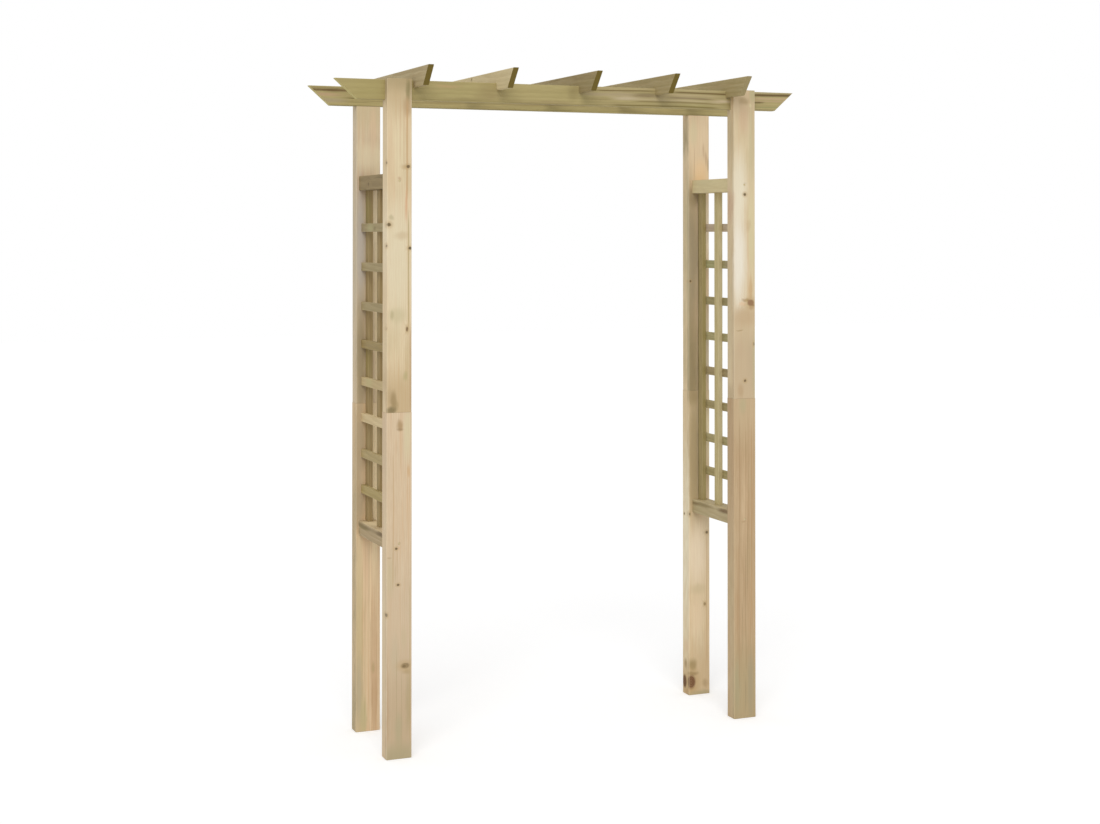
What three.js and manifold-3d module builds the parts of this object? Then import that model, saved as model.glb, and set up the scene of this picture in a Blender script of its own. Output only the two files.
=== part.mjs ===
// Garden arch: four posts, each spliced from two lengths, two beams let into the post tops,
// five rafters notched over the beams, and a trellis panel between the posts on each side.
// Millimetres. X runs along the beams, Y from front to rear, Z up. The origin is central, on the ground.

import * as THREE from "three";
import { mergeVertices } from "three/addons/utils/BufferGeometryUtils.js";
import Module from "manifold-3d";

const wasm = await Module();
wasm.setup();

// Layout
const postSpanX = 1204.6; // over the outer faces of the left and right posts
const postSpanY = 353.6; // over the outer faces of the front and rear posts
const beamTop = 1957; // height of the beams' upper edge

// Posts: a lower and an upper length, butted and joined by a dowel
const postWidth = 76; // along X
const postDepth = 44; // along Y
const postProud = 2.5; // the tongue beside the beam rises this far above it
const spliceHeight = 995; // top of the lower length
const spliceShy = 0.6; // each face of the upper length lies this far inside the lower one
const postEasing = 1.5; // radius of the planed edges
const dowelRadius = 10;
const dowelLength = 120;
const dowelChamfer = 2;

// Beams: boards on edge with mitred ends
const beamLength = 1500;
const beamThickness = 22;
const beamHeight = 58.5;
const beamMitre = 66; // the lower corner stands this far back from the upper one
const beamEasing = 1.5;

// Rafters: boards on edge with mitred ends, notched over both beams
const rafterLength = 590;
const rafterThickness = 17;
const rafterHeight = 56;
const rafterMitre = 49;
const rafterNotch = 21; // depth of the notch over a beam
const rafterEasing = 1.5;
const rafterPlaceShares = [-0.98, -0.48, 0.034, 0.528, 1]; // of the way from the middle to the last seat

// Trellis panels: two rails between the posts, uprights between the rails, crossbars on the outer side
const railWidth = 54; // along X
const railHeight = 43;
const railOutset = 2.7; // from the posts' middle line towards the outside
const railEasing = 2;
const bottomRailRise = 597; // from the ground to the bottom rail's underside
const topRailDrop = 213.5; // from the beams' underside to the top rail's upper face
const uprightWidth = 28; // along Y
const uprightThickness = 15; // along X
const uprightInset = 18.3; // from the rail's inner face to the upright's inner face
const uprightMargins = { left: 0.3, right: 4.8 }; // between an outer upright and the post
const crossbarHeight = 25.5;
const crossbarThickness = 13; // along X
const slatEasing = 1;
const crossbarPlaceShares = [0.096, 0.204, 0.313, 0.422, 0.535, 0.65, 0.769, 0.887]; // of the open height

// Screws: countersunk, one size of head and shank in two lengths
const screwHeadRadius = 3.2;
const screwHeadHeight = 2.2;
const screwShankRadius = 1.9;
const screwTipLength = 6;
const screwSink = 0.3; // from the timber's face to the top of the head
const railScrewLength = 75;
const beamScrewLength = 36;

// Fits
const seatGap = 0.3; // between faces that rest on each other
const boreGap = 0.3; // round and beyond a dowel or a screw in its bore
const overrun = 3; // how far a cutter reaches past the face that it opens
const mitreOverrunShare = 0.1; // the same along a mitre, of the mitre's own size

// Round shapes
const boreSides = 24;
const screwSides = 16;
const easingSegments = 2; // chords in each planed edge

// Places worked out from the sizes above
const postX = (postSpanX - postWidth) / 2;
const postY = (postSpanY - postDepth) / 2;
const upperWidth = postWidth - 2 * spliceShy;
const upperDepth = postDepth - 2 * spliceShy;
const beamBottom = beamTop - beamHeight;
const beamMiddle = (beamTop + beamBottom) / 2;
const beamY = postY - upperDepth / 2 + beamThickness / 2;
const rafterBottom = beamTop + seatGap - rafterNotch;
const rafterReach = postX - upperWidth / 2 - seatGap - rafterThickness / 2;
const railX = postX + railOutset;
const bottomRailMiddle = bottomRailRise + railHeight / 2;
const topRailMiddle = beamBottom - topRailDrop - railHeight / 2;
const openBottom = bottomRailMiddle + railHeight / 2;
const openTop = topRailMiddle - railHeight / 2;
const lowerRailLength = 2 * postY - postDepth - 2 * seatGap;
const upperRailLength = 2 * postY - upperDepth - 2 * seatGap;
const uprightX = railX - railWidth / 2 + uprightInset + uprightThickness / 2;
const crossbarX = uprightX + uprightThickness / 2 + seatGap + crossbarThickness / 2;

// Looks
const postLook = { color: 0xcdb58f, roughness: 0.8, metalness: 0 };
const beamLook = { color: 0xa89c68, roughness: 0.8, metalness: 0 };
const rafterLook = { color: 0x9c8b63, roughness: 0.8, metalness: 0 };
const railLook = { color: 0xa3946a, roughness: 0.8, metalness: 0 };
const slatLook = { color: 0x97855f, roughness: 0.8, metalness: 0 };
const dowelLook = { color: 0xcfb98f, roughness: 0.7, metalness: 0 };
const screwLook = { color: 0x8d8877, roughness: 0.45, metalness: 0.9 };

// A closed geometry as a solid that can be cut
function toSolid(geometry) {
  const bare = geometry.clone();
  bare.deleteAttribute("normal");
  bare.deleteAttribute("uv");
  const merged = mergeVertices(bare);
  const vertProperties = new Float32Array(merged.getAttribute("position").array);
  const triVerts = new Uint32Array(merged.index.array);
  return new wasm.Manifold(new wasm.Mesh({ numProp: 3, vertProperties, triVerts }));
}

// A solid as a flat-shaded geometry
function toGeometry(solid) {
  const mesh = solid.getMesh();
  const geometry = new THREE.BufferGeometry();
  geometry.setAttribute("position", new THREE.BufferAttribute(mesh.vertProperties, 3));
  geometry.setIndex(new THREE.BufferAttribute(mesh.triVerts, 1));
  const flat = geometry.toNonIndexed();
  flat.computeVertexNormals();
  return flat;
}

// A geometry less its cutters
function cut(geometry, cutters) {
  let solid = toSolid(geometry);
  for (const cutter of cutters) {
    solid = solid.subtract(toSolid(cutter));
  }
  return toGeometry(solid);
}

// A bar with eased long edges, centred on the origin, its length along Z
function barAlongZ(width, depth, length, easing) {
  const cornerX = width / 2 - easing;
  const cornerY = depth / 2 - easing;
  const quarter = Math.PI / 2;
  const section = new THREE.Shape();
  section.absarc(cornerX, cornerY, easing, 0, quarter);
  section.absarc(-cornerX, cornerY, easing, quarter, 2 * quarter);
  section.absarc(-cornerX, -cornerY, easing, 2 * quarter, 3 * quarter);
  section.absarc(cornerX, -cornerY, easing, 3 * quarter, 4 * quarter);
  const options = { depth: length, bevelEnabled: false, curveSegments: easingSegments };
  return new THREE.ExtrudeGeometry(section, options).translate(0, 0, -length / 2);
}

function barAlongX(height, thickness, length, easing) {
  return barAlongZ(height, thickness, length, easing).rotateY(Math.PI / 2);
}

function barAlongY(thickness, height, length, easing) {
  return barAlongZ(thickness, height, length, easing).rotateX(Math.PI / 2);
}

// A block between two opposite corners
function block(low, high) {
  const size = new THREE.Vector3().subVectors(high, low);
  const middle = new THREE.Vector3().addVectors(high, low).divideScalar(2);
  return new THREE.BoxGeometry(size.x, size.y, size.z).translate(middle.x, middle.y, middle.z);
}

// A wedge that takes off one mitred end of a bar along X: the upper corner of the end stays
function mitreCutter(length, height, thickness, mitre, side) {
  const spareRun = mitre * mitreOverrunShare;
  const spareRise = height * mitreOverrunShare;
  const farX = length / 2 + spareRun;
  const nearX = length / 2 - mitre - spareRun;
  const topZ = height / 2 + spareRise;
  const bottomZ = -height / 2 - spareRise;
  const wedge = new THREE.Shape([
    new THREE.Vector2(side * nearX, bottomZ),
    new THREE.Vector2(side * farX, bottomZ),
    new THREE.Vector2(side * farX, topZ),
  ]);
  const depth = thickness + 2 * overrun;
  return new THREE.ExtrudeGeometry(wedge, { depth, bevelEnabled: false })
    .rotateX(Math.PI / 2)
    .translate(0, depth / 2, 0);
}

// A countersunk screw, its head's top at the origin and its tip on -Y. A gap makes it the screw's bore.
function screwShape(length, gap, mouth) {
  const profile = [
    new THREE.Vector2(0, -length - gap),
    new THREE.Vector2(screwShankRadius + gap, -length + screwTipLength),
    new THREE.Vector2(screwShankRadius + gap, -screwHeadHeight),
    new THREE.Vector2(screwHeadRadius + gap, 0),
  ];
  if (mouth > 0) {
    profile.push(new THREE.Vector2(screwHeadRadius + gap, mouth));
  }
  profile.push(new THREE.Vector2(0, mouth));
  return new THREE.LatheGeometry(profile, screwSides);
}

function screwBore(length) {
  return screwShape(length, boreGap, screwSink + overrun);
}

// A dowel or its bore along Z, centred on the origin
function dowelShape(gap, chamfer) {
  const radius = dowelRadius + gap;
  const half = dowelLength / 2 + gap;
  const profile = [
    new THREE.Vector2(0, -half),
    new THREE.Vector2(radius - chamfer, -half),
    new THREE.Vector2(radius, -half + chamfer),
    new THREE.Vector2(radius, half - chamfer),
    new THREE.Vector2(radius - chamfer, half),
    new THREE.Vector2(0, half),
  ];
  return new THREE.LatheGeometry(profile, boreSides).rotateX(Math.PI / 2);
}

function addMesh(group, name, geometry, look) {
  const mesh = new THREE.Mesh(geometry, new THREE.MeshStandardMaterial(look));
  mesh.name = name;
  group.add(mesh);
  return mesh;
}

// The lower length of a front post, standing on its group's origin with +Y towards the passage
function lowerPostGeometry() {
  const stock = barAlongZ(postWidth, postDepth, spliceHeight, postEasing).translate(0, 0, spliceHeight / 2);
  const dowelBore = dowelShape(boreGap, dowelChamfer).translate(0, 0, spliceHeight);
  const railBore = screwBore(railScrewLength)
    .rotateZ(Math.PI)
    .translate(0, screwSink - postDepth / 2, bottomRailMiddle);
  return cut(stock, [dowelBore, railBore]);
}

// The upper length, rebated at its top so that the beam lies flush with its inner face
function upperPostGeometry() {
  const foot = spliceHeight + seatGap;
  const top = beamTop + postProud;
  const stock = barAlongZ(upperWidth, upperDepth, top - foot, postEasing).translate(0, 0, (top + foot) / 2);
  const dowelBore = dowelShape(boreGap, dowelChamfer).translate(0, 0, spliceHeight);
  const railBore = screwBore(railScrewLength)
    .rotateZ(Math.PI)
    .translate(0, screwSink - upperDepth / 2, topRailMiddle);
  const rebateY = upperDepth / 2 - beamThickness - seatGap;
  const rebate = block(
    new THREE.Vector3(-upperWidth / 2 - overrun, rebateY, beamBottom - seatGap),
    new THREE.Vector3(upperWidth / 2 + overrun, upperDepth / 2 + overrun, top + overrun),
  );
  const beamBore = screwBore(beamScrewLength).translate(0, upperDepth / 2 - screwSink, beamMiddle);
  return cut(stock, [dowelBore, railBore, rebate, beamBore]);
}

// One post with its dowel and its three screws; the rear posts are the front ones turned round
function buildPost(name, side, rank) {
  const post = new THREE.Group();
  addMesh(post, name + "_post_lower", lowerPostGeometry(), postLook);
  addMesh(post, name + "_post_upper", upperPostGeometry(), postLook);
  const dowel = addMesh(post, name + "_post_dowel", dowelShape(0, dowelChamfer), dowelLook);
  dowel.position.z = spliceHeight;
  const railScrew = screwShape(railScrewLength, 0, 0);
  const bottomScrew = addMesh(post, name + "_bottom_rail_screw", railScrew, screwLook);
  bottomScrew.position.set(0, screwSink - postDepth / 2, bottomRailMiddle);
  bottomScrew.rotation.z = Math.PI;
  const topScrew = addMesh(post, name + "_top_rail_screw", railScrew, screwLook);
  topScrew.position.set(0, screwSink - upperDepth / 2, topRailMiddle);
  topScrew.rotation.z = Math.PI;
  const beamScrew = addMesh(post, name + "_beam_screw", screwShape(beamScrewLength, 0, 0), screwLook);
  beamScrew.position.set(0, upperDepth / 2 - screwSink, beamMiddle);
  post.position.set(side * postX, rank * postY, 0);
  post.rotation.z = rank > 0 ? Math.PI : 0;
  return post;
}

// A beam with its length along X and its passage side on +Y
function buildBeam(name, rank) {
  const stock = barAlongX(beamHeight, beamThickness, beamLength, beamEasing);
  const cutters = [];
  for (const side of [-1, 1]) {
    cutters.push(mitreCutter(beamLength, beamHeight, beamThickness, beamMitre, side));
    cutters.push(screwBore(beamScrewLength).translate(side * postX, beamThickness / 2 - screwSink, 0));
  }
  const group = new THREE.Group();
  addMesh(group, name, cut(stock, cutters), beamLook);
  group.position.set(0, rank * beamY, beamMiddle);
  group.rotation.z = rank > 0 ? Math.PI : 0;
  return group;
}

// A rafter along Y, notched to sit down over both beams
function rafterGeometry() {
  const stock = barAlongY(rafterThickness, rafterHeight, rafterLength, rafterEasing);
  const halfWidth = rafterThickness / 2 + overrun;
  const notchHalf = beamThickness / 2 + seatGap;
  const cutters = [];
  for (const side of [-1, 1]) {
    const mitre = mitreCutter(rafterLength, rafterHeight, rafterThickness, rafterMitre, side);
    cutters.push(mitre.rotateZ(Math.PI / 2));
    const low = new THREE.Vector3(-halfWidth, side * beamY - notchHalf, -rafterHeight / 2 - overrun);
    const high = new THREE.Vector3(halfWidth, side * beamY + notchHalf, rafterNotch - rafterHeight / 2);
    cutters.push(block(low, high));
  }
  return cut(stock, cutters);
}

function buildRafters() {
  const group = new THREE.Group();
  rafterPlaceShares.forEach((share, index) => {
    const rafter = addMesh(group, "rafter_" + (index + 1), rafterGeometry(), rafterLook);
    rafter.position.set(share * rafterReach, 0, rafterBottom + rafterHeight / 2);
  });
  return group;
}

// A rail along Y with a screw bore in each end, in line with the posts' middle
function railGeometry(length, side, postHalf) {
  const stock = barAlongY(railWidth, railHeight, length, railEasing);
  const cutters = [];
  for (const end of [-1, 1]) {
    const bore = screwBore(railScrewLength).rotateZ(end > 0 ? 0 : Math.PI);
    cutters.push(bore.translate(-side * railOutset, end * (postY + postHalf - screwSink), 0));
  }
  return cut(stock, cutters);
}

function uprightGeometry() {
  const length = openTop - openBottom - 2 * seatGap;
  return barAlongZ(uprightThickness, uprightWidth, length, slatEasing);
}

function crossbarGeometry() {
  return barAlongY(crossbarThickness, crossbarHeight, lowerRailLength, slatEasing);
}

// A trellis panel; side is -1 on the left and 1 on the right
function buildPanel(name, side) {
  const panel = new THREE.Group();
  const bottomGeometry = railGeometry(lowerRailLength, side, postDepth / 2);
  const bottomRail = addMesh(panel, name + "_bottom_rail", bottomGeometry, railLook);
  bottomRail.position.set(side * railX, 0, bottomRailMiddle);
  const topGeometry = railGeometry(upperRailLength, side, upperDepth / 2);
  const topRail = addMesh(panel, name + "_top_rail", topGeometry, railLook);
  topRail.position.set(side * railX, 0, topRailMiddle);
  const uprightY = lowerRailLength / 2 - uprightMargins[name] - uprightWidth / 2;
  const uprightPlaces = { front: -uprightY, middle: 0, rear: uprightY };
  for (const [rank, y] of Object.entries(uprightPlaces)) {
    const upright = addMesh(panel, name + "_upright_" + rank, uprightGeometry(), slatLook);
    upright.position.set(side * uprightX, y, (openTop + openBottom) / 2);
  }
  crossbarPlaceShares.forEach((share, index) => {
    const crossbar = addMesh(panel, name + "_crossbar_" + (index + 1), crossbarGeometry(), slatLook);
    crossbar.position.set(side * crossbarX, 0, THREE.MathUtils.lerp(openBottom, openTop, share));
  });
  return panel;
}

const arch = new THREE.Group();
for (const [width, side] of [["left", -1], ["right", 1]]) {
  for (const [depth, rank] of [["front", -1], ["rear", 1]]) {
    arch.add(buildPost(depth + "_" + width, side, rank));
  }
  arch.add(buildPanel(width, side));
}
arch.add(buildBeam("front_beam", -1));
arch.add(buildBeam("rear_beam", 1));
arch.add(buildRafters());

export default arch;
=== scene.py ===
# Garden arch of planed, pressure-treated pine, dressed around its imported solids.
# Metres. X runs along the beams, Y from front to rear, Z up.

import math

import bpy
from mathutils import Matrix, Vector


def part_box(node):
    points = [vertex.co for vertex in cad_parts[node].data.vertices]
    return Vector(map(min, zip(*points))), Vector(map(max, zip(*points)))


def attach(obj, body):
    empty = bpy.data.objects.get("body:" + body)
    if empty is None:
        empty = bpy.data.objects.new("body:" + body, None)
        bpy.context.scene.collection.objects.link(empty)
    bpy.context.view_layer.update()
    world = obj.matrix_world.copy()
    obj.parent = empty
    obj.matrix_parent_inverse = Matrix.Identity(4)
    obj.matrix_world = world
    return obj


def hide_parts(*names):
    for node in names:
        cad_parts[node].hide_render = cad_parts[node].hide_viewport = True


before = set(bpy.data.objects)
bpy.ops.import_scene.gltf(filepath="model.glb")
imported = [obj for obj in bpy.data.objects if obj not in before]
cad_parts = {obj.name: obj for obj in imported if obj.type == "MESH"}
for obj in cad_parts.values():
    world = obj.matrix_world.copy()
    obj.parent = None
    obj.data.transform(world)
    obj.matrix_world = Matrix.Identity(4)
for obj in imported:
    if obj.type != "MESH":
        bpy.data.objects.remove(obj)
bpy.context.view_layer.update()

arch = {
    "postX": 0.5643,  # middle of a post, from the middle of the arch
    "postY": 0.1548,
    "spliceHeight": 0.995,
    "beamTop": 1.957,
    "beamHeight": 0.0585,
    "seatGap": 0.0003,  # between faces that rest on each other
    "arrisSteps": 4,  # facets in a rounded edge
    "smoothAngle": 35,  # degrees: sharper edges stay hard
    "endEase": 0.0005,  # bevel round a sawn end
    "cutterSpare": 0.01,  # how far a cutting block stands out of the board
}
beamBottom = arch["beamTop"] - arch["beamHeight"]
beamMiddle = (arch["beamTop"] + beamBottom) / 2
sides = (("left", -1), ("right", 1))
ranks = (("front", -1), ("rear", 1))


# Colours and node trees

def linearColour(hexCode):  # an sRGB hex value as linear numbers
    channels = []
    for start in (0, 2, 4):
        value = int(hexCode[start:start + 2], 16) / 255
        channels.append(value / 12.92 if value <= 0.04045 else ((value + 0.055) / 1.055) ** 2.4)
    return (*channels, 1)


def addNode(tree, kind, settings, inputs):
    # An input is a number, a hex colour, a socket, or a node that stands for its first output
    node = tree.nodes.new("ShaderNode" + kind)
    for key, value in settings.items():
        setattr(node, key, value)
    for key, value in inputs.items():
        if isinstance(value, bpy.types.Node):
            value = value.outputs[0]
        if isinstance(value, bpy.types.NodeSocket):
            tree.links.new(value, node.inputs[key])
        else:
            node.inputs[key].default_value = linearColour(value) if isinstance(value, str) else value
    return node


def newMaterial(name):
    material = bpy.data.materials.new(name)
    material.use_nodes = True
    material.node_tree.nodes.clear()
    return material


def setMaterial(piece, material):
    piece.data.materials.clear()
    piece.data.materials.append(material)


pineFinish = {
    "roughness": 0.72,
    "roughnessSpan": 0.12,
    "wanderAcross": 0.11,  # size of the bends in the growth rings
    "wanderAlong": 0.38,
    "wanderDepth": 0.010,
    "unevenWidth": 0.02,  # rings that stand closer in places
    "unevenLength": 0.5,
    "streakWidth": 0.0055,  # long streaks of warmer wood
    "streakLength": 0.34,
    "fibreWidth": 0.0011,  # drawn coarser than real fibres, so that they show
    "fibreLength": 0.045,
    "patchWidth": 0.05,  # patches where the treatment took more or less
    "patchLength": 0.22,
    "figureFade": 0.08,
    "raggedWidth": 0.006,  # roughens the outlines of knots
    "raggedDepth": 0.0034,
    "knotReach": 4.5,  # how far out the rings bend round a knot, in its half sizes
    "knotPush": 1.7,
    "collarReach": 2.8,
    "collarStrength": 0.55,
    "knotRings": 3.2,
    "knotPale": 0.28,  # share of the collar's colour in those rings
    "stainAndShadingWidth": 0.016,  # roughens the outlines of stains and of patches of painted light and shade
    "stainAndShadingLength": 0.06,
    "stainAndShadingDepth": 0.012,
    "stainAndShadingReach": 1.35,  # where each stain and each patch of painted light and shade has faded out, in its half sizes
    "grainOver": 0.09,  # share of the grain that shows through stains
    "lineFade": 0.03,
    "arrisReach": 0.003,
    # painted highlight: how much paler the rounded arrises are drawn, where they catch the light
    "arrisPale": 0.3,
    "bumpStrength": 0.35,
    "bumpDepth": 0.00035,
}


def pineMaterial(name, look):
    # Planed pine, pressure-treated: growth rings cut at a slant, so that the faces show long arches and
    # streaks, with soft brown knots, a green-grey cast in patches and darker end grain. Painted highlights
    # run along the arrises, and a board's look can add patches and lines of painted light and shade. It is
    # matt.
    finish = pineFinish
    material = newMaterial(name)
    tree = material.node_tree
    seed = look["seed"]  # moves every pattern, so that no two boards are alike
    smooth = {"interpolation_type": "SMOOTHSTEP"}
    multiply = {"operation": "MULTIPLY"}

    def noiseAlong(vector, width, length, shift, detail):
        scale = (1 / width, 1 / width, 1 / length)
        place = addNode(tree, "Mapping", {}, {0: vector, 1: (shift, shift * 0.7, shift * 1.3), 3: scale})
        return addNode(tree, "TexNoise", {}, {0: place, 2: 1.0, 3: detail})

    def pushed(vector, noise, depth):
        centred = addNode(tree, "VectorMath", {"operation": "SUBTRACT"},
                          {0: noise.outputs[1], 1: (0.5, 0.5, 0.5)})
        return addNode(tree, "VectorMath", {"operation": "MULTIPLY_ADD"},
                       {0: centred, 1: (depth, depth, depth), 2: vector})

    def distanceTo(vector, place, size):  # 1 on the surface of an ellipsoid of these half sizes
        centre = tuple(-p / s for p, s in zip(place, size))
        scale = tuple(1 / s for s in size)
        toPlace = addNode(tree, "Mapping", {}, {0: vector, 1: centre, 3: scale})
        return addNode(tree, "VectorMath", {"operation": "LENGTH"}, {0: toPlace}).outputs[1]

    # The board's own axes: across its wide face, through its thickness, along its grain
    coordinates = addNode(tree, "TexCoord", {}, {})
    centre = tuple(-value for value in look["middle"])
    offset = addNode(tree, "Mapping", {}, {0: coordinates.outputs[3], 1: centre})
    split = addNode(tree, "SeparateXYZ", {}, {0: offset})
    axes = {place: split.outputs["XYZ".index(axis)] for place, axis in enumerate(look["order"])}
    board = addNode(tree, "CombineXYZ", {}, axes)
    across, through, along = addNode(tree, "SeparateXYZ", {}, {0: board}).outputs

    # Growth rings round a pith that wanders
    wander = noiseAlong(board, finish["wanderAcross"], finish["wanderAlong"], seed, 2.0)
    moved = pushed(board, wander, finish["wanderDepth"] * look["wander"])
    pith = (-look["pith"][0], -look["pith"][1], 0)
    fromPith = addNode(tree, "Mapping", {}, {0: moved, 1: pith, 3: (1, 1, 0)})
    radius = addNode(tree, "VectorMath", {"operation": "LENGTH"}, {0: fromPith}).outputs[1]
    reach = addNode(tree, "Math", {"operation": "MULTIPLY_ADD"}, {0: along, 1: look["slope"], 2: radius})

    # Knots push the rings aside
    rough = noiseAlong(board, finish["raggedWidth"], finish["raggedWidth"], seed + 8.8, 3.0)
    ragged = pushed(board, rough, finish["raggedDepth"])
    knots = []
    for place, size, strength, tint in look["knots"]:
        far = distanceTo(ragged, place, size)
        aside = size[0] * finish["knotPush"]
        push = addNode(tree, "MapRange", smooth, {0: far, 2: finish["knotReach"], 3: aside, 4: 0.0})
        reach = addNode(tree, "Math", {"operation": "ADD"}, {0: reach, 1: push})
        knots.append((far, strength, tint))

    unevenness = noiseAlong(board, finish["unevenWidth"], finish["unevenLength"], seed + 4.1, 1.0)
    turns = addNode(tree, "Math", {"operation": "DIVIDE"}, {0: reach, 1: look["ring"]})
    turns = addNode(tree, "Math", {"operation": "MULTIPLY_ADD"}, {0: unevenness, 1: 0.9, 2: turns})
    phase = addNode(tree, "Math", {"operation": "FRACT"}, {0: turns})
    rise = addNode(tree, "MapRange", smooth, {0: phase, 1: 0.2, 2: 0.85})
    fall = addNode(tree, "MapRange", smooth, {0: phase, 1: 0.9, 2: 1.0, 3: 1.0, 4: 0.0})
    lateWood = addNode(tree, "Math", multiply, {0: rise, 1: fall})

    # Coats are masks with the colour that each lays over the light wood, first to last
    streaks = noiseAlong(moved, finish["streakWidth"], finish["streakLength"], seed + 1.7, 3.0)
    fibres = noiseAlong(board, finish["fibreWidth"], finish["fibreLength"], seed + 2.9, 2.0)
    patches = noiseAlong(board, finish["patchWidth"], finish["patchLength"], seed + 6.3, 2.0)
    start = look["figureStart"]
    figured = addNode(tree, "MapRange", smooth,
                      {0: along, 1: start - finish["figureFade"], 2: start + finish["figureFade"]})
    streaked = addNode(tree, "MapRange", smooth, {0: streaks, 1: 0.5, 2: 0.68, 4: look["streakStrength"]})
    streaked = addNode(tree, "Math", multiply, {0: figured, 1: streaked})
    rings = addNode(tree, "Math", multiply, {0: lateWood, 1: look["ringStrength"]})
    coats = [(rings, look["dark"]), (streaked, look["streak"])]
    for noise, low, high, word, tint in (
            (patches, 0.5, 0.75, "castStrength", "cast"), (patches, 0.5, 0.28, "bloomStrength", "paleAndHighlight"),
            (fibres, 0.3, 0.75, "fibreStrength", "dark")):
        mask = addNode(tree, "MapRange", smooth, {0: noise, 1: low, 2: high, 4: look[word]})
        coats.append((mask, look[tint]))

    # Broad stains and patches of painted light and shade, then fine lines that run along the board: grain,
    # and on some boards painted highlights and shadow lines
    uneven = noiseAlong(board, finish["stainAndShadingWidth"], finish["stainAndShadingLength"], seed + 5.5, 3.0)
    spread = pushed(board, uneven, finish["stainAndShadingDepth"])
    for place, size, strength, tint in look["stains"]:
        far = distanceTo(spread, place, size)
        mask = addNode(tree, "MapRange", smooth,
                       {0: far, 1: 0.3, 2: finish["stainAndShadingReach"], 3: strength, 4: 0.0})
        coats.append((mask, tint))
    grain = addNode(tree, "MapRange", smooth, {0: fibres, 1: 0.4, 2: 0.75})
    grain = addNode(tree, "Math", {"operation": "ADD"}, {0: lateWood, 1: grain})
    grain = addNode(tree, "Math", multiply, {0: grain, 1: finish["grainOver"]})
    coats.append((grain, look["dark"]))
    lineAcross = addNode(tree, "SeparateXYZ", {}, {0: moved}).outputs[0]
    soft = finish["lineFade"]
    for middle, halfWidth, start, end, strength, tint in look["lines"]:
        off = addNode(tree, "Math", {"operation": "SUBTRACT"}, {0: lineAcross, 1: middle})
        off = addNode(tree, "Math", {"operation": "ABSOLUTE"}, {0: off})
        mask = addNode(tree, "MapRange", smooth,
                       {0: off, 1: halfWidth * 0.3, 2: halfWidth * 1.3, 3: strength, 4: 0.0})
        begun = addNode(tree, "MapRange", smooth, {0: along, 1: start - soft, 2: start + soft})
        ended = addNode(tree, "MapRange", smooth, {0: along, 1: end - soft, 2: end + soft, 3: 1.0, 4: 0.0})
        for share in (begun, ended):
            mask = addNode(tree, "Math", multiply, {0: mask, 1: share})
        coats.append((mask, tint))

    # Knots: a brown heart with rings of its own, in a paler, warmer collar
    for far, strength, tint in knots:
        pale = strength * finish["collarStrength"]
        collar = addNode(tree, "MapRange", smooth,
                         {0: far, 1: 0.9, 2: finish["collarReach"], 3: pale, 4: 0.0})
        ringed = addNode(tree, "Math", multiply, {0: far, 1: finish["knotRings"]})
        ringed = addNode(tree, "Math", {"operation": "FRACT"}, {0: ringed})
        ringed = addNode(tree, "Math", multiply, {0: ringed, 1: finish["knotPale"]})
        heart = addNode(tree, "Mix", {"data_type": "RGBA"}, {0: ringed, 6: tint, 7: look["collar"]})
        core = addNode(tree, "MapRange", smooth, {0: far, 1: 0.6, 2: 1.2, 3: strength, 4: 0.0})
        coats += [(collar, look["collar"]), (core, heart.outputs[2])]

    # Painted highlight along the rounded arrises, where they catch the light; then the open end grain, darker
    # on most boards, but paler on the beams' downward-facing mitred ends as painted light
    inside = []
    for place, half in zip((across, through), look["half"]):
        off = addNode(tree, "Math", {"operation": "ABSOLUTE"}, {0: place})
        inside.append(addNode(tree, "Math", {"operation": "SUBTRACT"}, {0: off, 1: half}))
    nearer = addNode(tree, "Math", {"operation": "MINIMUM"}, {0: inside[0], 1: inside[1]})
    arris = addNode(tree, "MapRange", smooth,
                    {0: nearer, 1: -finish["arrisReach"], 2: 0.0, 4: finish["arrisPale"]})
    facing = addNode(tree, "SeparateXYZ", {}, {0: coordinates.outputs[1]})
    facing = facing.outputs["XYZ".index(look["order"][2])]
    facing = addNode(tree, "Math", {"operation": "ABSOLUTE"}, {0: facing})
    endGrain = addNode(tree, "MapRange", smooth, {0: facing, 1: 0.5, 2: 0.7, 4: look["endStrength"]})
    coats += [(arris, look["paleAndHighlight"]), (endGrain, look["end"])]

    colour = look["light"]
    for mask, tint in coats:
        colour = addNode(tree, "Mix", {"data_type": "RGBA"}, {0: mask, 6: colour, 7: tint}).outputs[2]
    height = addNode(tree, "Math", multiply, {0: lateWood, 1: 0.5})
    height = addNode(tree, "Math", {"operation": "MULTIPLY_ADD"}, {0: fibres, 1: 0.7, 2: height})
    bump = addNode(tree, "Bump", {}, {0: finish["bumpStrength"], 1: finish["bumpDepth"], 2: height})
    span = finish["roughnessSpan"]
    roughness = addNode(tree, "Math", {"operation": "MULTIPLY_ADD"},
                        {0: fibres, 1: span, 2: finish["roughness"] - span / 2})
    shader = addNode(tree, "BsdfPrincipled", {}, {0: colour, 2: roughness, 5: bump})
    addNode(tree, "OutputMaterial", {}, {0: shader})
    return material


# Board modelling

def clearSelection():
    if bpy.context.object and bpy.context.object.mode != "OBJECT":
        bpy.ops.object.mode_set(mode="OBJECT")
    bpy.ops.object.select_all(action="DESELECT")


def makeActive(piece):
    clearSelection()
    piece.select_set(True)
    bpy.context.view_layer.objects.active = piece


def addBlock(middle, size):
    clearSelection()
    bpy.ops.mesh.primitive_cube_add(size=1, location=middle)
    block = bpy.context.object
    block.scale = size
    bpy.ops.object.transform_apply()
    return block


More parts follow.
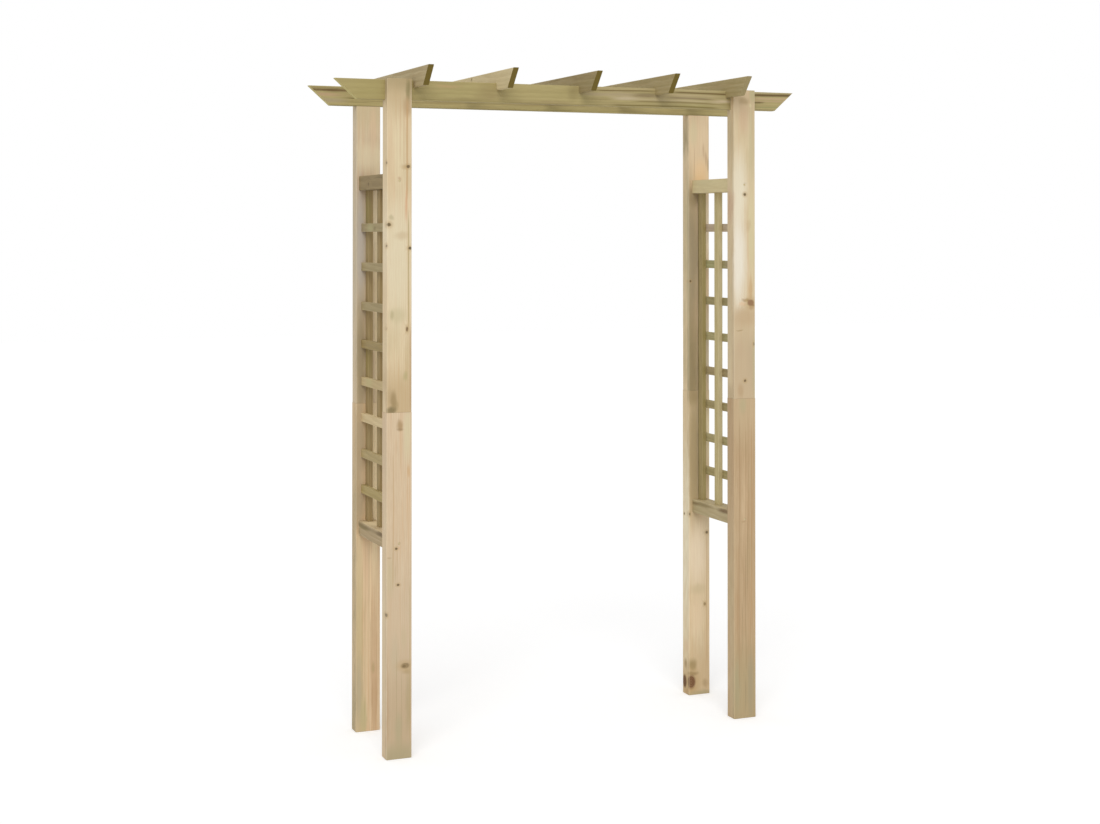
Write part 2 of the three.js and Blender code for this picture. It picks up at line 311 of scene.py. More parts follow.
def bevelEdges(piece, wanted, width, steps, clamp):
    makeActive(piece)
    bpy.ops.object.mode_set(mode="EDIT")
    bpy.ops.mesh.select_mode(type="EDGE")
    bpy.ops.mesh.select_all(action="DESELECT")
    bpy.ops.object.mode_set(mode="OBJECT")
    for edge in piece.data.edges:
        edge.select = wanted(edge)
    bpy.ops.object.mode_set(mode="EDIT")
    bpy.ops.mesh.bevel(offset=width, segments=steps, affect="EDGES", clamp_overlap=clamp)
    bpy.ops.object.mode_set(mode="OBJECT")


def cutAway(piece, cutter):
    makeActive(piece)
    modifier = piece.modifiers.new("cut", "BOOLEAN")
    modifier.operation = "DIFFERENCE"
    modifier.solver = "EXACT"
    modifier.object = cutter
    bpy.ops.object.modifier_apply(modifier=modifier.name)
    bpy.data.objects.remove(cutter)


def trimEnd(piece, point, normal):  # saws off what lies on the normal's side of a plane
    makeActive(piece)
    bpy.ops.object.mode_set(mode="EDIT")
    bpy.ops.mesh.select_all(action="SELECT")
    bpy.ops.mesh.bisect(plane_co=point, plane_no=normal, use_fill=True, clear_outer=True)
    bpy.ops.object.mode_set(mode="OBJECT")


def easeEnd(piece, axis, side):  # a fine bevel round one sawn end
    rim = set()
    for polygon in piece.data.polygons:
        if polygon.normal[axis] * side > 0.5 and len(polygon.vertices) > 4:
            rim.update(polygon.edge_keys)

    def onRim(edge):
        return edge.key in rim

    bevelEdges(piece, onRim, arch["endEase"], 1, True)


def modelBoard(size, order, easing):
    # A planed board at the origin, with its four long edges rounded over.
    # What repeats is modelled once, as it stands at the rear, and each piece is a copy with its own mesh.
    board = addBlock((0, 0, 0), size)
    along = "XYZ".index(order[2])
    tolerance = 0.001

    def runsAlong(edge):
        first, second = (board.data.vertices[index].co[along] for index in edge.vertices)
        return abs(first - second) > size[along] - tolerance

    bevelEdges(board, runsAlong, easing, arch["arrisSteps"], False)
    return board


def placeBoard(pattern, name, node, middle, rank, look):
    makeActive(pattern)
    bpy.ops.object.duplicate()
    board = bpy.context.object
    board.name = name
    board.data.name = name
    board.location = middle
    board.rotation_euler.z = 0 if rank > 0 else math.pi
    bpy.ops.object.transform_apply()
    bpy.ops.object.shade_smooth_by_angle(angle=math.radians(arch["smoothAngle"]))
    normals = board.modifiers.new("faces", "WEIGHTED_NORMAL")
    normals.keep_sharp = True
    bpy.ops.object.modifier_apply(modifier=normals.name)
    setMaterial(board, pineMaterial(node + " planed pine", look))
    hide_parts(node)
    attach(board, "root")


screwSizes = {
    "headRadius": 0.0032,
    "headHeight": 0.0022,
    "boreGap": 0.0003,  # round the head
    "sink": 0.0003,  # how far the head lies below the face
    "spare": 0.002,  # how far the cutter stands out of the board
    "facets": 32,
}


def screwMouth(place, direction):  # the countersunk mouth that a screw's head sits in
    clearSelection()
    sizes = screwSizes
    radius = sizes["headRadius"] + sizes["boreGap"]
    depth = sizes["headHeight"] + sizes["sink"] + sizes["spare"]
    middle = Vector(place) + Vector(direction) * (sizes["spare"] - depth / 2)
    turn = Vector(direction).to_track_quat("Z", "Y").to_euler()
    bpy.ops.mesh.primitive_cylinder_add(
        vertices=sizes["facets"], radius=radius, depth=depth, location=middle, rotation=turn)
    bpy.ops.object.transform_apply()
    return bpy.context.object


# Looks of the boards

pineTones = {
    "wander": 1.0, "pith": (0.01, 0.07), "slope": 0.018, "ring": 0.0042, "ringStrength": 0.45,
    "light": "DCC7A2", "dark": "C2A479", "streak": "CFA97B", "streakStrength": 0.4,
    "cast": "C6B992", "castStrength": 0.4, "paleAndHighlight": "E8D8B8", "bloomStrength": 0.3,
    "fibreStrength": 0.45, "collar": "B98D5E", "end": "B7A678", "endStrength": 0.6,
    "figureStart": -9,  # where the streaks begin along a board: here they run all along it
    "knots": [], "stains": [], "lines": [],
}
markDepth = 0.012  # how far each knot, stain and patch of painted light and shade reaches into the wood
markPlanes = {
    # Y of front marks
    "frontPosts": -0.176, "frontArris": -0.178, "rearPosts": 0.133, "frontBeam": -0.148, "rearBeam": 0.14,
    "middleUpright": -0.02, "rearUpright": 0.0937,
    # X of side marks. Marks on the posts' sides, stains and painted light and shade alike, lie outside the
    # face, so that they stay a thin skin.
    "leftPosts": -0.6103, "rightPosts": 0.5183, "rightFoot": 0.5203, "rightInside": 0.5263,
    "rafter1": -0.527, "rafter2": -0.262, "leftRails": -0.594, "rightRails": 0.54,
    "leftUprights": -0.573, "leftBars": -0.59, "rightBars": 0.58,
}


def frontMarks(plane, *marks):  # on faces that look along Y; a mark has x, z, half width, half height
    y = markPlanes[plane]
    return [((x, y, z), (width, markDepth, height), strength, colour)
            for x, z, width, height, colour, strength in marks]


def sideMarks(plane, *marks):  # on faces that look along X; a mark has y, z, half width, half height
    x = markPlanes[plane]
    return [((x, y, z), (markDepth, width, height), strength, colour)
            for y, z, width, height, colour, strength in marks]


def lookOf(middle, size, order, tones):
    # Turns places given from the arch's origin into the board's own axes.
    # A line has its place across, half width, start, end, strength and colour.
    places = ["XYZ".index(axis) for axis in order]
    across, through, along = places
    half = (size[across] / 2, size[through] / 2)
    look = {**pineTones, **tones, "middle": middle, "order": order, "half": half}
    for kind in ("knots", "stains"):
        look[kind] = [([place[i] - middle[i] for i in places], [extent[i] for i in places], strength, colour)
                      for place, extent, strength, colour in look[kind]]
    shift = middle[along]
    look["lines"] = [(centre - middle[across], halfWidth, start - shift, end - shift, strength, colour)
                     for centre, halfWidth, start, end, strength, colour in look["lines"]]
    return look


# Posts

postSizes = {
    "width": 0.076,
    "depth": 0.044,
    "shy": 0.0006,  # the upper length's faces lie this far inside the lower one's
    "proud": 0.0025,  # the tongue rises this far above the beam
    "beamThickness": 0.022,
    "easing": 0.0015,
    "bottomRailMiddle": 0.6185,
    "topRailMiddle": 1.6635,
}
postTones = {
    "wander": 0.55, "pith": (0.085, 0.06), "slope": 0.006, "ring": 0.0038, "ringStrength": 0.32,
    "light": "E2CEA8", "dark": "CBAE84", "streak": "D9B184", "streakStrength": 0.5,
    "cast": "C9BC93", "paleAndHighlight": "F0E2C4", "bloomStrength": 0.35, "collar": "BDA070",
}
knotBrown = "54442A"
postLooks = {
    "front_left_post_lower": dict(
        postTones, seed=1.3, light="DFC8A7", dark="C9AC87", cast="C8BA99",
        knots=frontMarks("frontPosts",
            (-0.573, 0.604, 0.0044, 0.0036, knotBrown, 0.95), (-0.5675, 0.5, 0.0044, 0.0034, knotBrown, 0.9),
            (-0.602, 0.415, 0.0034, 0.0055, knotBrown, 0.9), (-0.546, 0.266, 0.0135, 0.0085, "6B5938", 0.85),
            (-0.549, 0.2645, 0.006, 0.004, "57472B", 0.6)),
        stains=frontMarks("frontPosts",
            (-0.5643, 0.12, 0.09, 0.22, "BCA482", 0.8), (-0.5643, 0.0, 0.09, 0.05, "A49C76", 0.6),
            (-0.566, 0.085, 0.014, 0.05, "AFA57F", 0.6), (-0.576, 0.3, 0.014, 0.06, "C2B594", 0.6),
            (-0.592, 0.52, 0.014, 0.06, "C5BA8E", 0.55), (-0.549, 0.345, 0.01, 0.035, "C3B488", 0.5),
            (-0.537, 0.17, 0.009, 0.1, "AC9A70", 0.6), (-0.594, 0.579, 0.006, 0.003, "A88C66", 0.5))
        + frontMarks("frontArris", (-0.6, 0.21, 0.0028, 0.19, "AC8562", 0.6))
        + sideMarks("leftPosts", (-0.155, 0.4, 0.05, 0.5, "E0CDA8", 0.7))
        + frontMarks("frontPosts",
            (-0.5643, 0.4, 0.09, 0.22, "CDB798", 0.5), (-0.562, 0.958, 0.0105, 0.018, "A98B60", 0.8),
            (-0.561, 0.946, 0.0105, 0.0045, "8F734B", 0.55), (-0.566, 0.6055, 0.0045, 0.005, "E3B896", 0.6),
            (-0.537, 0.825, 0.005, 0.02, "CFA877", 0.6), (-0.54, 0.93, 0.013, 0.08, "DAD1A8", 0.55),
            (-0.54, 0.247, 0.014, 0.008, "AE9569", 0.5)),
        lines=[(-0.583, 0.0018, 0.5, 0.87, 0.5, "BD9C70"), (-0.5325, 0.0014, 0.05, 0.5, 0.5, "B19A6B"),
               (-0.571, 0.0014, 0.52, 0.6, 0.4, "B9996C"), (-0.5765, 0.0012, 0.52, 0.55, 0.6, "A88F66"),
               (-0.573, 0.0012, 0.1, 0.3, 0.45, "A9936C"), (-0.558, 0.0012, 0.04, 0.24, 0.4, "A9936C"),
               (-0.589, 0.0014, 0.08, 0.26, 0.35, "CDB998")]),
    "front_left_post_upper": dict(
        postTones, seed=2.1, light="E6D3AE", dark="D0B58B",
        knots=frontMarks("frontPosts",
            (-0.538, 1.705, 0.0058, 0.005, "5F4C2C", 0.95), (-0.603, 1.715, 0.0024, 0.006, knotBrown, 0.8),
            (-0.596, 1.537, 0.0066, 0.0056, "5A4A2B", 0.95),
            (-0.603, 1.4755, 0.0026, 0.005, knotBrown, 0.9), (-0.532, 1.469, 0.005, 0.0045, "4B3E22", 0.95),
            (-0.6035, 1.2374, 0.0024, 0.004, knotBrown, 0.7),
            (-0.541, 1.235, 0.0036, 0.0075, "6B5230", 0.9)),
        stains=frontMarks("frontPosts",
            (-0.551, 1.704, 0.013, 0.008, "B99A6A", 0.6), (-0.568, 1.43, 0.042, 0.21, "E6DBBB", 0.6),
            (-0.568, 1.75, 0.022, 0.1, "E8D8B2", 0.65), (-0.5643, 1.945, 0.09, 0.095, "C6AF86", 0.85),
            # partly painted shadow: the olive patch on the right of the tongue is an olive tint and a
            # rafter's shadow
            (-0.5643, 1.96, 0.09, 0.04, "9C8C62", 0.45), (-0.537, 1.925, 0.01, 0.035, "857A4C", 0.75),
            (-0.54, 1.88, 0.015, 0.03, "AC8C62", 0.6), (-0.5435, 1.6, 0.004, 0.055, "D7A67E", 0.7),
            (-0.59, 1.72, 0.014, 0.13, "DDBD96", 0.35), (-0.588, 1.557, 0.008, 0.009, "B8AB82", 0.6),
            (-0.563, 1.6695, 0.0055, 0.0055, "BE9A78", 0.6))
        + sideMarks("leftPosts",
            # painted shade: the dark band high on the side face, under the beam; painted light: the pale band
            # below it, which lifts the side face
            (-0.155, 1.94, 0.05, 0.075, "95845A", 0.95), (-0.155, 1.5, 0.05, 0.15, "F0E2C2", 0.95),
            (-0.155, 1.08, 0.05, 0.07, "B39A72", 0.7))
        + frontMarks("frontPosts",
            (-0.556, 1.505, 0.024, 0.014, "CDB690", 0.6), (-0.571, 1.275, 0.03, 0.024, "C9BC93", 0.6),
            (-0.586, 1.275, 0.007, 0.014, "B0A47A", 0.5), (-0.5643, 1.02, 0.09, 0.11, "C3A87D", 0.75),
            (-0.539, 1.15, 0.01, 0.08, "C3AA7C", 0.5), (-0.592, 1.04, 0.01, 0.03, "B59C74", 0.5),
            (-0.546, 1.1, 0.008, 0.016, "B0A672", 0.6), (-0.581, 1.03, 0.01, 0.03, "977F53", 0.75),
            (-0.574, 1.015, 0.009, 0.016, "A0895C", 0.5), (-0.588, 1.002, 0.017, 0.012, "7F6F47", 0.9)),
        lines=[(-0.5405, 0.0038, 1.62, 1.89, 0.6, "C39C6B"), (-0.562, 0.0016, 1.72, 1.9, 0.45, "C7A177"),
               (-0.5505, 0.0016, 1.7, 1.88, 0.45, "C7A177"), (-0.5365, 0.0026, 1.24, 1.56, 0.65, "AF9B68"),
               (-0.531, 0.0036, 1.0, 1.24, 0.6, "B7946C"), (-0.5715, 0.0012, 1.62, 1.85, 0.35, "C8A880")]),
    "rear_left_post_lower": dict(
        postTones, seed=3.7, light="E5CAA3", dark="CBAA80", paleAndHighlight="ECD8B4",
        stains=frontMarks("rearPosts",
            (-0.5643, 0.5, 0.09, 0.1, "E9D0A8", 0.5), (-0.592, 0.25, 0.014, 0.4, "C3B384", 0.6),
            (-0.593, 0.12, 0.013, 0.12, "B2A68A", 0.6), (-0.578, 0.04, 0.012, 0.08, "BBB080", 0.7),
            (-0.545, 0.2, 0.012, 0.24, "CDA982", 0.5), (-0.543, 0.09, 0.009, 0.1, "C39E74", 0.5),
            (-0.548, 0.19, 0.007, 0.018, "B09A68", 0.5), (-0.57, 0.5, 0.01, 0.09, "DDBA94", 0.45),
            # painted shade: the greyer strip on the left of the front face, beside the panel; painted light:
            # the pale strip on the right, where the front post and the panel shade the face
            (-0.593, 0.88, 0.02, 0.17, "B7A483", 0.9), (-0.593, 0.69, 0.02, 0.08, "B7A483", 0.9),
            (-0.544, 0.8, 0.013, 0.3, "FFEDC2", 0.85))
        + sideMarks("leftPosts",
            (0.155, 0.5, 0.05, 0.6, "A2956E", 0.85), (0.155, 0.0, 0.05, 0.24, "8F8864", 0.7)),
        lines=[(-0.557, 0.002, 0.34, 0.56, 0.75, "EDD2A8"), (-0.5655, 0.0018, 0.2, 0.37, 0.55, "E2CBA2"),
               (-0.5695, 0.0016, 0.05, 0.24, 0.6, "DFC9A0"), (-0.5615, 0.0012, 0.36, 0.57, 0.4, "B6926C"),
               (-0.573, 0.0013, 0.36, 0.57, 0.3, "BC9670"), (-0.553, 0.0012, 0.08, 0.4, 0.35, "B8926A"),
               (-0.5385, 0.0015, 0.04, 0.3, 0.4, "B78F66"), (-0.5745, 0.0012, 0.04, 0.4, 0.4, "AE9A6C"),
               (-0.5505, 0.0011, 0.04, 0.16, 0.4, "AE885E"), (-0.583, 0.0012, 0.1, 0.5, 0.35, "AE9868")]),
    "rear_left_post_upper": dict(
        postTones, seed=4.4, light="E0CCAB", dark="CAB08A", paleAndHighlight="E9DABA",
        stains=frontMarks("rearPosts",
            # painted shade: the grey and darker strips on the left of the front face, beside the panel;
            # painted light: the pale strips on the right, where the panel and front post shade the face
            (-0.589, 1.48, 0.018, 0.22, "C3BBB0", 0.9), (-0.589, 1.12, 0.018, 0.22, "9F8F6E", 0.9),
            (-0.537, 1.33, 0.012, 0.38, "F4E2B8", 0.8), (-0.543, 1.54, 0.012, 0.13, "FFF0CC", 0.8),
            (-0.5643, 1.745, 0.09, 0.045, "EEDFBB", 0.6), (-0.5643, 1.885, 0.09, 0.06, "C9B88F", 0.5),
            (-0.55, 1.82, 0.012, 0.09, "E3C4A0", 0.5))
        + sideMarks("leftPosts", (0.155, 1.5, 0.05, 0.75, "B4AA92", 0.85))),
    "front_right_post_lower": dict(
        postTones, seed=5.2, light="C6AA84", dark="AE8F66", streak="B08B61", cast="B5A57D", paleAndHighlight="D3BB95",
        stains=frontMarks("frontPosts",
            (0.5643, 0.97, 0.09, 0.12, "CEB690", 0.6), (0.558, 0.975, 0.014, 0.03, "B9AE86", 0.6),
            (0.5643, 0.05, 0.09, 0.2, "AB9C73", 0.6), (0.564, 0.64, 0.01, 0.17, "D6BA93", 0.55),
            (0.56, 0.612, 0.009, 0.003, "A3835B", 0.4), (0.536, 0.1, 0.013, 0.09, "A8A07C", 0.5),
            (0.585, 0.1, 0.012, 0.12, "A2977A", 0.5))
        + sideMarks("rightPosts", (-0.155, 0.3, 0.05, 0.5, "D2BF98", 0.7)),
        lines=[(0.5455, 0.0018, 0.1, 0.92, 0.5, "A58660"), (0.567, 0.0015, 0.25, 0.9, 0.45, "A5855C"),
               (0.5755, 0.0013, 0.2, 0.95, 0.4, "A5855C"), (0.588, 0.002, 0.3, 0.9, 0.4, "B88F5E"),
               (0.5685, 0.0012, 0.16, 0.5, 0.5, "98805A"), (0.562, 0.0011, 0.34, 0.62, 0.5, "9C7C58"),
               (0.5735, 0.0012, 0.4, 0.62, 0.5, "9C7C58"), (0.5675, 0.0022, 0.02, 0.12, 0.5, "97835F"),
               (0.58, 0.002, 0.2, 0.55, 0.45, "B8986E"), (0.557, 0.0012, 0.2, 0.36, 0.5, "98805C")]),
    "front_right_post_upper": dict(
        postTones, seed=6.6, light="E1CEA9", dark="CDB58C",
        knots=frontMarks("frontPosts",
            (0.566, 1.633, 0.005, 0.0048, "55482C", 0.95), (0.577, 1.3015, 0.005, 0.003, "7C5C3C", 0.7),
            (0.5945, 1.286, 0.0065, 0.0035, "735437", 0.8), (0.5865, 1.294, 0.0125, 0.0105, "8A6242", 0.9),
            (0.5975, 1.165, 0.0034, 0.0055, "8A7A5C", 0.8), (0.566, 1.051, 0.0048, 0.0045, "5C4A2C", 0.95))
        + sideMarks("rightInside", (-0.165, 0.965, 0.003, 0.003, knotBrown, 0.7)),
        stains=frontMarks("frontPosts",
            # painted shadow: the soft brown patch at the top of the front face, cast by a rafter
            (0.5643, 1.94, 0.09, 0.07, "C8AE88", 0.55), (0.563, 1.925, 0.02, 0.013, "A28A60", 0.6),
            (0.562, 1.865, 0.02, 0.05, "D3B290", 0.6), (0.5645, 1.669, 0.0075, 0.0018, "B09A78", 0.7),
            (0.592, 1.79, 0.013, 0.14, "C3B78E", 0.6), (0.542, 1.43, 0.031, 0.17, "F4EDDC", 0.85),
            (0.545, 1.65, 0.03, 0.13, "EEE5CC", 0.75), (0.595, 1.95, 0.014, 0.03, "B8AE82", 0.8),
            (0.538, 1.91, 0.008, 0.02, "DEC8A4", 0.5), (0.587, 1.912, 0.005, 0.007, "DDD4A4", 0.6),
            (0.55, 1.15, 0.014, 0.03, "CDA68A", 0.4), (0.5885, 1.28, 0.0085, 0.0085, "A67E5C", 0.75),
            (0.583, 1.12, 0.012, 0.06, "B9AA88", 0.6), (0.563, 1.056, 0.009, 0.004, "DCC5AC", 0.6),
            (0.59, 1.52, 0.014, 0.14, "DACFA2", 0.6), (0.578, 1.535, 0.01, 0.02, "C7AC84", 0.5),
            (0.586, 1.335, 0.006, 0.05, "C59C66", 0.55), (0.569, 1.303, 0.016, 0.006, "A07F58", 0.7),
            (0.556, 1.291, 0.014, 0.007, "EBC8A2", 0.7), (0.5643, 1.08, 0.09, 0.19, "C4AC8A", 0.8),
            (0.5643, 1.25, 0.06, 0.035, "C2A680", 0.7), (0.5475, 1.208, 0.013, 0.0022, "A3875C", 0.6),
            (0.55, 1.02, 0.012, 0.025, "B4946C", 0.5), (0.598, 1.1, 0.008, 0.12, "BBB088", 0.6))
        + sideMarks("rightPosts",
            (-0.155, 1.8, 0.05, 0.13, "B9A880", 0.7), (-0.155, 1.3, 0.05, 0.3, "C5B592", 0.7),
            (-0.152, 1.6, 0.04, 0.07, "C39C80", 0.85), (-0.168, 1.45, 0.012, 0.1, "CDB389", 0.6),
            (-0.155, 1.005, 0.05, 0.045, "B09A76", 0.8))),
    "rear_right_post_lower": dict(
        postTones, seed=7.9, light="E4CFA7", dark="CCB187",
        knots=frontMarks("rearPosts", (0.5301, 0.5921, 0.0026, 0.0055, knotBrown, 0.9))
        + sideMarks("rightInside", (0.165, 0.589, 0.0036, 0.0036, knotBrown, 0.85))
        + frontMarks("rearPosts",
            (0.592, 0.528, 0.005, 0.0046, knotBrown, 0.9), (0.5845, 0.294, 0.0044, 0.006, "8A7248", 0.8),
            (0.5345, 0.043, 0.0165, 0.0235, "5E2A02", 1.0))
        + sideMarks("rightInside", (0.163, 0.04, 0.0145, 0.023, "5C3404", 1.0)),
        stains=frontMarks("rearPosts",
            (0.5643, 0.05, 0.09, 0.13, "C6A97F", 0.55), (0.555, 0.46, 0.04, 0.13, "F3E1C4", 0.7),
            (0.555, 0.26, 0.03, 0.07, "EBD2AE", 0.6), (0.56, 0.345, 0.03, 0.02, "CDB98E", 0.5),
            # painted shade: the darker strip on the left of the front face, beside the panel
            (0.545, 0.79, 0.026, 0.24, "B4A078", 0.9), (0.54, 0.98, 0.026, 0.035, "A8946C", 0.8),
            (0.596, 0.87, 0.01, 0.12, "F6E8C0", 0.8), (0.538, 0.07, 0.022, 0.007, "7C6536", 0.85),
            (0.539, 0.098, 0.017, 0.022, "9A8352", 0.8), (0.585, 0.035, 0.012, 0.016, "AD9166", 0.6),
            (0.535, 0.02, 0.018, 0.01, "C29C66", 0.6), (0.5643, 0.0, 0.09, 0.014, "A79D75", 0.6))
        # painted light: the side face toward the passage is drawn much paler, to lift it out of its shade
        + sideMarks("rightPosts", (0.155, 0.48, 0.05, 0.43, "F6EDD0", 1.0))
        + sideMarks("rightFoot",
            (0.15, 0.01, 0.02, 0.016, "B98C58", 0.8), (0.155, 0.099, 0.013, 0.02, "A0855C", 0.9),
            (0.15, 0.16, 0.02, 0.03, "DDB994", 0.5)),
        lines=[(0.5925, 0.0028, 0.1, 0.52, 0.5, "C6A274")]),
    "rear_right_post_upper": dict(
        # partly painted light: this post's wood is drawn paler than the others', to make up for the shade of
        # the beams and rafters
        postTones, seed=8.8, light="EED7B1", dark="D8BA8F",
        knots=frontMarks("rearPosts", (0.5329, 1.3538, 0.0038, 0.0038, knotBrown, 0.9)),
        stains=frontMarks("rearPosts",
            # painted light: the pale patches high on the front face, under the beams and rafters
            (0.5643, 1.8, 0.09, 0.13, "F6DDB8", 0.65), (0.572, 1.71, 0.03, 0.05, "FDDAAA", 0.75),
            (0.545, 1.845, 0.018, 0.05, "DED2A8", 0.55), (0.583, 1.782, 0.004, 0.026, "CBA77B", 0.45),
            (0.59, 1.758, 0.004, 0.024, "C29C72", 0.5), (0.597, 1.738, 0.0042, 0.022, "A98D64", 0.6),
            # painted shade: the grey-brown strip on the left of the front face, beside the panel, and the
            # dark patch under the top rail
            (0.531, 1.42, 0.042, 0.27, "A8997B", 0.95), (0.545, 1.63, 0.03, 0.035, "9E8C68", 0.7),
            (0.531, 1.06, 0.042, 0.24, "9A8A66", 0.95), (0.596, 1.53, 0.01, 0.12, "FFF1D2", 0.8),
            (0.596, 1.13, 0.01, 0.15, "D6CAAE", 0.8))
        + sideMarks("rightPosts",
            # painted shade: the darker band high on the side face, under the beam and rafters
            (0.155, 1.4, 0.05, 0.55, "BCB188", 0.85), (0.155, 1.83, 0.05, 0.08, "8E825E", 0.9),
            (0.155, 1.09, 0.05, 0.09, "B2A57C", 0.5)),
        lines=[(0.6, 0.0016, 1.7, 1.87, 0.6, "B3A27E"), (0.5485, 0.0016, 1.69, 1.79, 0.5, "CBA474")]),
}


def buildPosts():
    sizes = postSizes
    foot = arch["spliceHeight"] + arch["seatGap"]
    top = arch["beamTop"] + sizes["proud"]
    spare = arch["cutterSpare"]
    for word, low, high, shy, sawnEnd, rail in (
            ("Lower", 0, arch["spliceHeight"], 0, -1, "bottomRailMiddle"),
            ("Upper", foot, top, sizes["shy"], 1, "topRailMiddle")):
        size = (sizes["width"] - 2 * shy, sizes["depth"] - 2 * shy, high - low)
        z = (high + low) / 2
        pattern = modelBoard(size, "XYZ", sizes["easing"])
        easeEnd(pattern, 2, sawnEnd)
        if word == "Upper":  # the rebate that the beam lies in, on the side of the passage
            depth = sizes["beamThickness"] + arch["seatGap"]
            height = top - beamBottom + arch["seatGap"]
            middle = (0, (depth - spare - size[1]) / 2, (size[2] - height + spare) / 2)
            cutAway(pattern, addBlock(middle, (size[0] + 2 * spare, depth + spare, height + spare)))
        cutAway(pattern, screwMouth((0, size[1] / 2, sizes[rail] - z), (0, 1, 0)))
        for sideWord, side in sides:
            for rankWord, rank in ranks:
                corner = rankWord + "_" + sideWord
                name = corner + "_post_" + word.lower()
                middle = (side * arch["postX"], rank * arch["postY"], z)
                placeBoard(pattern, corner + "Post" + word, name, middle, rank,
                           lookOf(middle, size, "XYZ", postLooks[name]))
        bpy.data.objects.remove(pattern)


# Beams

beamSizes = {"length": 1.5, "thickness": 0.022, "mitre": 0.066, "easing": 0.0015}
beamTones = {
    "light": "B7A872", "dark": "9A8A57", "streak": "93805A", "cast": "A2965F", "paleAndHighlight": "B9AB79",
    "bloomStrength": 0.4, "streakStrength": 0.6, "wander": 1.3, "ring": 0.009, "ringStrength": 0.3,
    # painted light: the beams' end colour is paler than their faces, to lift the mitred ends, which face
    # downwards into shade
    "pith": (0.035, 0.05), "slope": 0.006, "end": "CFC17C", "endStrength": 0.9,
}
beamLooks = {
    "front_beam": dict(
        beamTones, seed=11.4, figureStart=0.02,
        stains=frontMarks("frontBeam",
            (0.4, 1.93, 0.4, 0.06, "9F9268", 0.4), (0.3, 1.931, 0.3, 0.013, "B8A580", 0.6),
            (0.17, 1.926, 0.07, 0.007, "BBAA86", 0.7), (0.13, 1.942, 0.05, 0.004, "B5A47C", 0.6),
            (0.22, 1.9325, 0.045, 0.003, "826C40", 0.7), (0.33, 1.935, 0.05, 0.004, "A8976C", 0.5),
            (0.45, 1.926, 0.05, 0.0032, "7F6A3F", 0.75), (0.48, 1.919, 0.035, 0.0045, "BFAB8A", 0.8),
            (0.08, 1.918, 0.05, 0.003, "8F7C50", 0.5), (0.31, 1.921, 0.07, 0.0028, "8B774A", 0.6),
            (0.4, 1.907, 0.09, 0.003, "A29A56", 0.6), (0.632, 1.9235, 0.02, 0.0045, "60491F", 0.85),
            (0.69, 1.927, 0.03, 0.004, "B69E78", 0.6), (-0.63, 1.93, 0.2, 0.07, "A4955A", 0.6),
            (-0.41, 1.943, 0.05, 0.005, "BD986E", 0.6), (-0.28, 1.925, 0.055, 0.032, "8F7B52", 0.65),
            (-0.34, 1.904, 0.09, 0.008, "85764B", 0.6), (-0.1, 1.902, 0.13, 0.009, "907A54", 0.7),
            (-0.01, 1.935, 0.022, 0.03, "8A7A4E", 0.6)),
        # painted shade: the dark lines near z 1.90 darken the bottom edge
        lines=[(1.9355, 0.006, 0.03, 0.19, 0.6, "AF9D7C"), (1.9225, 0.0055, 0.13, 0.2, 0.8, "C3B28F"),
               (1.9345, 0.008, 0.2, 0.28, 0.6, "837250"), (1.929, 0.0036, 0.31, 0.45, 0.65, "806E4E"),
               (1.9385, 0.0024, 0.31, 0.48, 0.65, "BCA780"), (1.9205, 0.0026, 0.2, 0.45, 0.7, "BFAE86"),
               (1.9155, 0.0016, 0.2, 0.46, 0.7, "7D6D44"), (1.9235, 0.005, 0.475, 0.53, 0.85, "C8B593"),
               (1.9475, 0.0024, 0.07, 0.26, 0.8, "6E572D"), (1.946, 0.003, 0.33, 0.54, 0.8, "674F27"),
               (1.9535, 0.003, 0.05, 0.5, 0.45, "C2B083"), (1.913, 0.002, 0.2, 0.53, 0.6, "84723F"),
               (1.9015, 0.003, 0.12, 0.48, 0.8, "6F602C"), (1.9475, 0.0046, 0.6, 0.78, 0.9, "614A22"),
               (1.9545, 0.0018, 0.6, 0.78, 0.6, "AA9C7C"), (1.936, 0.004, 0.6, 0.76, 0.75, "C2A680"),
               (1.928, 0.0022, 0.6, 0.76, 0.6, "BCA27E"), (1.9225, 0.0026, 0.58, 0.63, 0.85, "6A5730"),
               (1.908, 0.003, 0.62, 0.74, 0.5, "989862"), (1.9005, 0.0016, 0.6, 0.7, 0.6, "7A6E4C"),
               (1.9015, 0.0018, -0.5, 0.08, 0.4, "80733B")]),
    "rear_beam": dict(
        beamTones, seed=12.8,
        stains=frontMarks("rearBeam", (-0.68, 1.9445, 0.03, 0.007, "5E461F", 0.7)),
        lines=[(1.945, 0.0046, -0.78, -0.6, 0.85, "6A5129"), (1.952, 0.003, -0.78, -0.6, 0.6, "857446"),
               (1.931, 0.006, -0.74, -0.66, 0.75, "BC9E7A"), (1.914, 0.007, -0.74, -0.64, 0.6, "AC9C7E"),
               (1.9225, 0.0026, -0.64, -0.56, 0.8, "71612F"), (1.911, 0.0016, -0.64, -0.56, 0.6, "7F7040"),
               # painted shade: a dark line along the bottom edge
               (1.9, 0.0018, -0.76, 0.76, 0.5, "857A44")]),
}


beamY = arch["postY"] - postSizes["depth"] / 2 + postSizes["shy"] + beamSizes["thickness"] / 2


